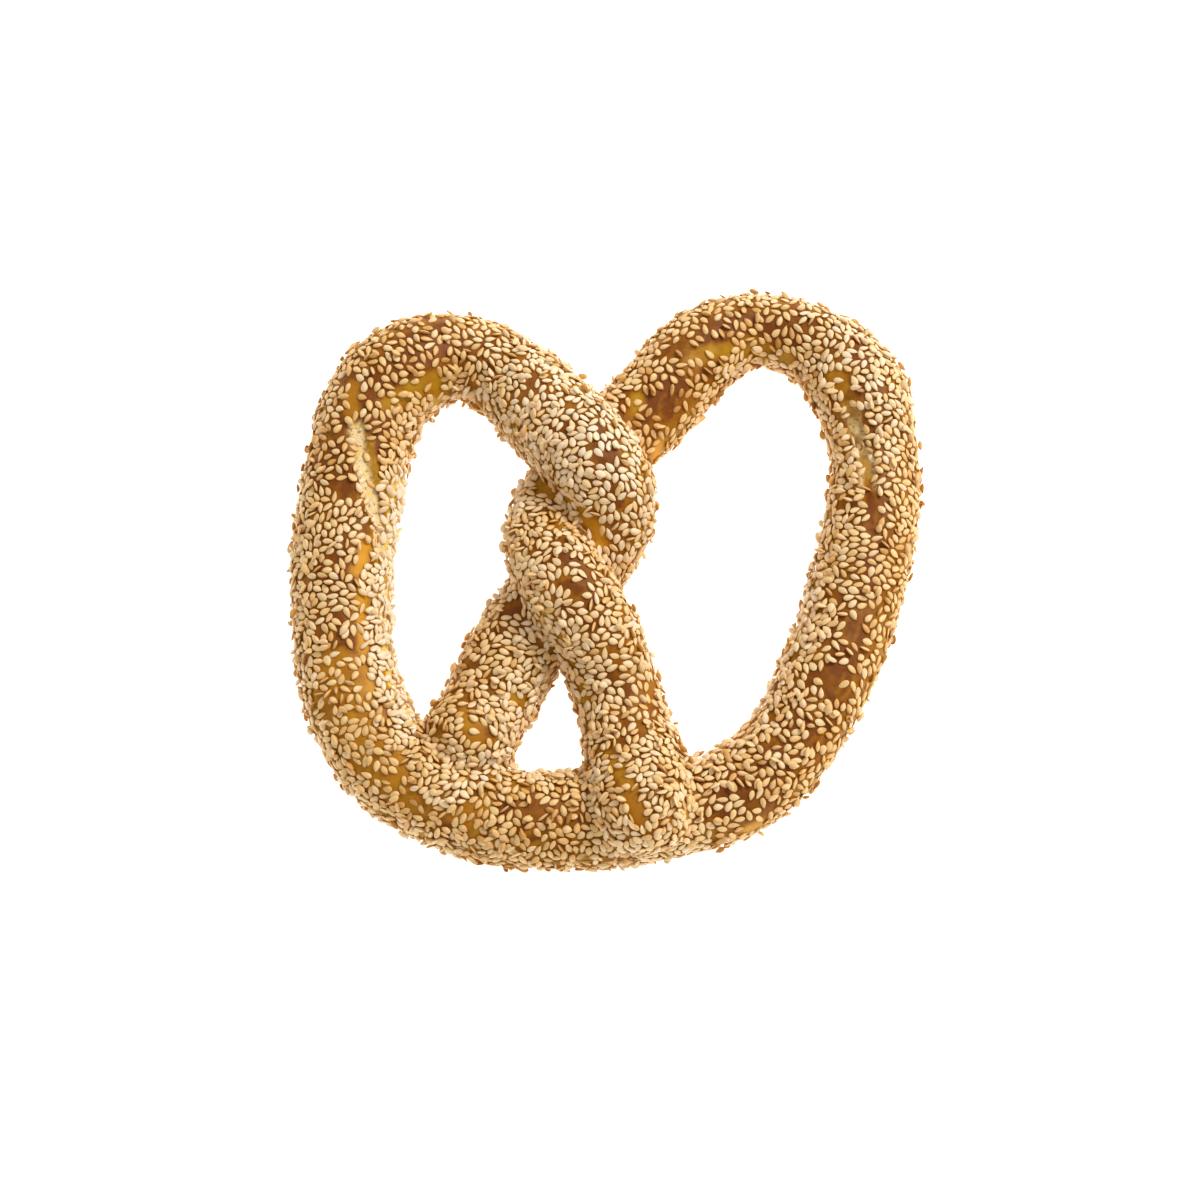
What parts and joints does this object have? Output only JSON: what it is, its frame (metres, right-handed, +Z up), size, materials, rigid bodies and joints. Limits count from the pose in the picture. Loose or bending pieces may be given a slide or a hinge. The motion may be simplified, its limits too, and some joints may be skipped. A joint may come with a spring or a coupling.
{
  "type": "sesame pretzel",
  "caption": "Soft bread pretzel rolled in sesame seed: a dough rope tied with a full twist, its feet pressed onto the belly, baked lying flat.",
  "frame": {"origin": "under the middle of the pretzel's outline, on the plane it rests on", "axes": "+Z up, out of the side that shows; +X across the loops, to the right with the belly nearest; -Y towards the belly, +Y towards the tops of the loops"},
  "size_m": [0.1788, 0.1679, 0.0376],
  "materials": {
    "crust": "satin",
    "sesame": "satin"
  },
  "bodies": {
    "root": {"pretzel": "crust"}
  },
  "joints": []
}
